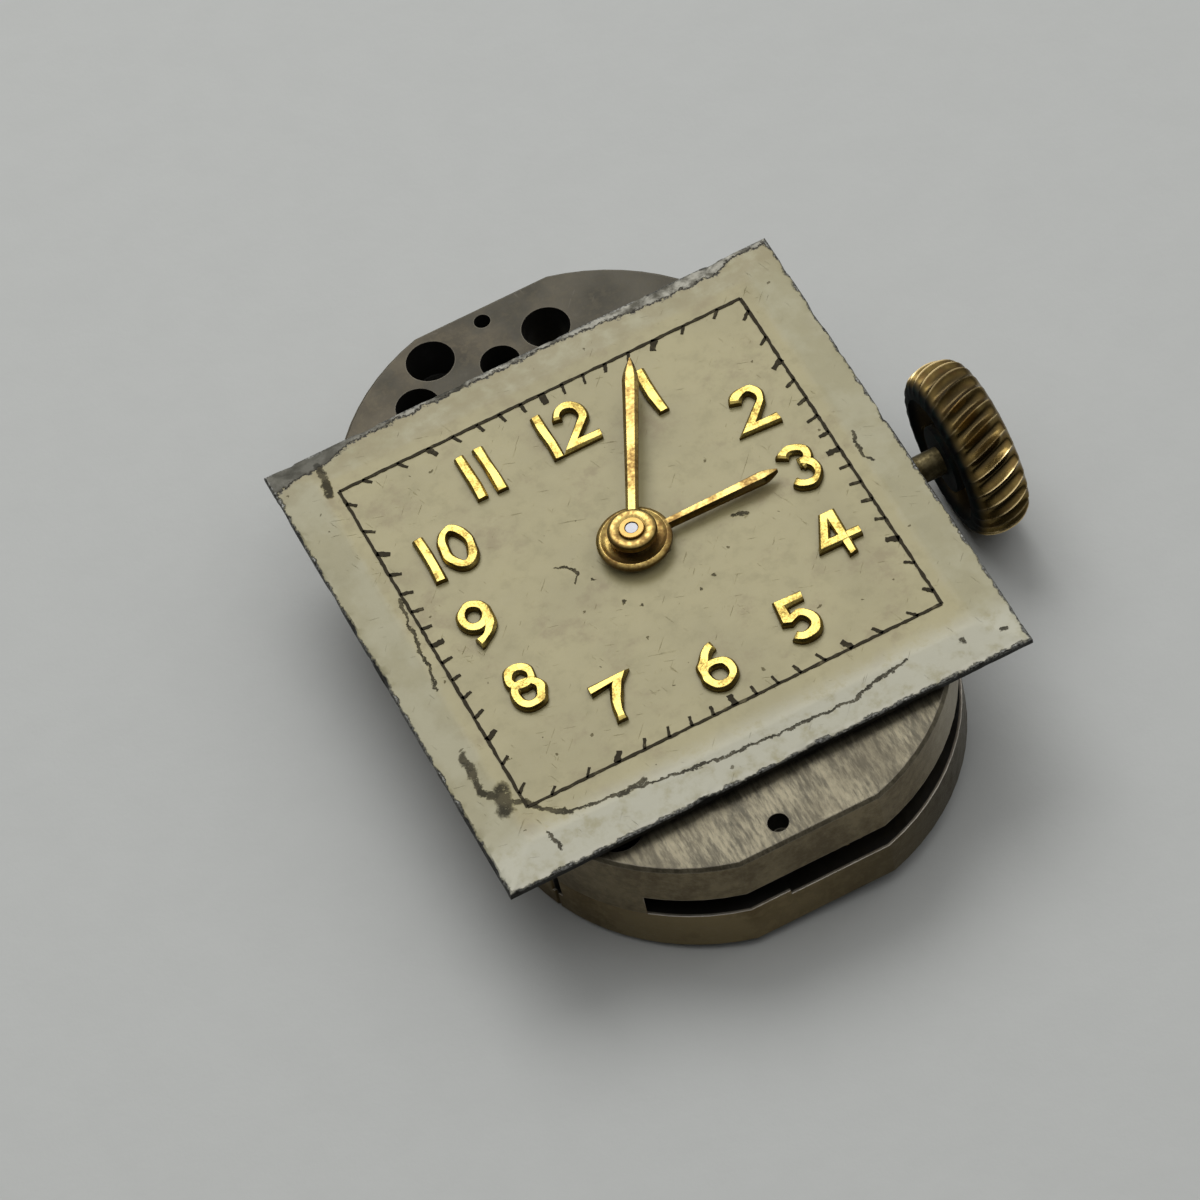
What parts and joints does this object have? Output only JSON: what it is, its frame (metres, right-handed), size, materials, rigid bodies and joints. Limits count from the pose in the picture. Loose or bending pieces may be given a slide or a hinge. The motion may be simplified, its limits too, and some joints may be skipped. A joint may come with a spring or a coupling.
{
  "type": "watch movement",
  "caption": "Hand-wound wristwatch movement of elongated form with its square dial, applied hour numerals, hands, stem and fluted crown.",
  "frame": {"origin": "on the hands' axis, in the plane of the back of the bridges", "axes": "+Z out of the dial along the hands' axis, +Y to twelve along the plate, +X to three along the stem"},
  "size_m": [0.0148, 0.0166, 0.0049],
  "materials": {
    "plate": "satin, silver plated, tarnished",
    "bridges": "satin, silver plated",
    "dial_lacquer": "aged cream, satin",
    "gold": "polished gold plate",
    "rose_gold": "worn rose gold plate",
    "brass": "polished",
    "steel": "polished",
    "screw_steel": "polished",
    "blued_steel": "blued",
    "ruby": "polished",
    "stem_steel": "tarnished",
    "crown_brass": "tarnished, bright ridges"
  },
  "bodies": {
    "movement": {"main_plate": "plate", "dial": "dial_lacquer", "hour_numerals": "gold", "minute_wheel_post": "steel", "dial_washer": "brass", "setting_lever_screw": "screw_steel", "setting_lever_spring": "steel", "yoke_spring": "steel", "dial_side_screws": "screw_steel", "dial_foot_screws": "screw_steel", "crown_wheel_core": "steel", "crown_wheel_screw": "screw_steel", "click_screw": "screw_steel", "click_spring": "blued_steel", "barrel_bridge": "bridges", "train_bridge": "bridges", "bridge_screws": "screw_steel", "steady_pins": "brass", "pallet_cock": "bridges", "pallet_cock_screw": "screw_steel", "plate_jewels": "ruby", "bridge_jewels": "ruby", "hairspring": "blued_steel", "hairspring_stud": "steel", "balance_cock": "bridges", "balance_cap_jewels": "ruby"},
    "hour_hand": {"hour_wheel": "brass", "hour_hand": "rose_gold"},
    "minute_hand": {"cannon_pinion": "steel", "minute_hand": "rose_gold"},
    "minute_wheel": {"minute_wheel": "brass"},
    "setting_wheel": {"setting_wheel": "steel"},
    "barrel": {"barrel_drum": "brass", "barrel_cover": "brass", "mainspring": "blued_steel"},
    "ratchet": {"barrel_arbor": "steel", "ratchet_wheel": "steel", "ratchet_screw": "screw_steel"},
    "centre_wheel": {"centre_wheel": "brass"},
    "third_wheel": {"third_wheel": "brass"},
    "fourth_wheel": {"fourth_wheel": "brass"},
    "escape_wheel": {"escape_wheel": "steel"},
    "pallet": {"pallet_lever": "steel", "pallet_stones": "ruby"},
    "balance": {"balance_wheel": "brass", "balance_screws": "brass", "balance_staff": "steel", "roller": "steel", "impulse_jewel": "ruby"},
    "winding_pinion": {"winding_pinion": "steel"},
    "stem": {"winding_stem": "stem_steel", "crown": "crown_brass"},
    "clutch": {"clutch_wheel": "steel"},
    "crown_wheel": {"crown_wheel": "steel"},
    "setting_lever": {"setting_lever": "steel"},
    "yoke": {"yoke": "steel"},
    "click": {"click": "steel"},
    "regulator": {"regulator_index": "steel"}
  },
  "joints": [
    {"name": "escape_turn", "type": "hinge", "parent": "movement", "child": "escape_wheel", "pos_m": [-0.00008, 0.00269, 0.0015], "axis": [0, 0, 1], "continuous": true},
    {"name": "fourth_turn", "type": "hinge", "parent": "movement", "child": "fourth_wheel", "pos_m": [-0.00196, 0.00331, 0.0015], "axis": [0, 0, 1], "continuous": true},
    {"name": "third_turn", "type": "hinge", "parent": "movement", "child": "third_wheel", "pos_m": [-0.00235, 0.0011, 0.0015], "axis": [0, 0, 1], "continuous": true},
    {"name": "centre_turn", "type": "hinge", "parent": "movement", "child": "centre_wheel", "pos_m": [0, 0, 0.0015], "axis": [0, 0, 1], "continuous": true},
    {"name": "barrel_turn", "type": "hinge", "parent": "movement", "child": "barrel", "pos_m": [0.0009, -0.0041, 0.0015], "axis": [0, 0, 1], "continuous": true},
    {"name": "minute_hand_turn", "type": "hinge", "parent": "movement", "child": "minute_hand", "pos_m": [0, 0, 0.0035], "axis": [0, 0, 1], "continuous": true},
    {"name": "minute_wheel_turn", "type": "hinge", "parent": "movement", "child": "minute_wheel", "pos_m": [0.00072, 0.00178, 0.0026], "axis": [0, 0, 1], "continuous": true},
    {"name": "hour_hand_turn", "type": "hinge", "parent": "movement", "child": "hour_hand", "pos_m": [0, 0, 0.0034], "axis": [0, 0, 1], "continuous": true},
    {"name": "setting_wheel_turn", "type": "hinge", "parent": "movement", "child": "setting_wheel", "pos_m": [0.0018, 0, 0.0023], "axis": [0, 0, 1], "continuous": true},
    {"name": "crown_turn", "type": "hinge", "parent": "movement", "child": "winding_pinion", "pos_m": [0, 0, 0.00138], "axis": [1, 0, 0], "continuous": true},
    {"name": "crown_wheel_turn", "type": "hinge", "parent": "movement", "child": "crown_wheel", "pos_m": [0.00278, 0, 0.00035], "axis": [0, 0, 1], "continuous": true},
    {"name": "ratchet_turn", "type": "hinge", "parent": "movement", "child": "ratchet", "pos_m": [0.0009, -0.0041, 0.00035], "axis": [0, 0, 1], "continuous": true},
    {"name": "stem_pull", "type": "slide", "parent": "winding_pinion", "child": "stem", "axis": [1, 0, 0], "range_m": [0, 0.00032]},
    {"name": "clutch_slide", "type": "slide", "parent": "winding_pinion", "child": "clutch", "axis": [1, 0, 0], "range_m": [-0.00033, 0]},
    {"name": "setting_lever_turn", "type": "hinge", "parent": "movement", "child": "setting_lever", "pos_m": [0.0043, -0.00195, 0.0026], "axis": [0, 0, 1], "range_deg": [-9.6, 0]},
    {"name": "yoke_turn", "type": "hinge", "parent": "movement", "child": "yoke", "pos_m": [0.003, -0.0026, 0.0026], "axis": [0, 0, 1], "range_deg": [0, 7.2]},
    {"name": "click_turn", "type": "hinge", "parent": "movement", "child": "click", "pos_m": [-0.00221, -0.0062, 0.0003], "axis": [0, 0, 1], "range_deg": [0, 12], "stiffness_Nm_per_rad": 0.000000002},
    {"name": "pallet_turn", "type": "hinge", "parent": "movement", "child": "pallet", "pos_m": [0.0001, 0.00397, 0.0015], "axis": [0, 0, 1], "range_deg": [-5, 5]},
    {"name": "balance_turn", "type": "hinge", "parent": "movement", "child": "balance", "pos_m": [0.0003, 0.00546, 0.001], "axis": [0, 0, 1], "range_deg": [-270, 270], "stiffness_Nm_per_rad": 0.000000007},
    {"name": "regulator_turn", "type": "hinge", "parent": "movement", "child": "regulator", "pos_m": [0.0003, 0.00546, 0.0001], "axis": [0, 0, 1], "range_deg": [-12, 12]}
  ],
  "couplings": [
    {"joint": "fourth_turn", "follows": "escape_turn", "ratio": -0.1},
    {"joint": "third_turn", "follows": "escape_turn", "ratio": 0.013333},
    {"joint": "centre_turn", "follows": "escape_turn", "ratio": -0.0016667},
    {"joint": "barrel_turn", "follows": "escape_turn", "ratio": 0.00022523},
    {"joint": "minute_hand_turn", "follows": "escape_turn", "ratio": -0.0016667},
    {"joint": "minute_wheel_turn", "follows": "escape_turn", "ratio": 0.00055556},
    {"joint": "hour_hand_turn", "follows": "escape_turn", "ratio": -0.00013889},
    {"joint": "setting_wheel_turn", "follows": "escape_turn", "ratio": -0.00125},
    {"joint": "crown_wheel_turn", "follows": "crown_turn", "ratio": 0.57692},
    {"joint": "ratchet_turn", "follows": "crown_turn", "ratio": -0.26786},
    {"joint": "clutch_slide", "follows": "stem_pull", "ratio": -1},
    {"joint": "setting_lever_turn", "follows": "stem_pull", "rad_per_m": -512.82},
    {"joint": "yoke_turn", "follows": "stem_pull", "rad_per_m": 384.62}
  ]
}
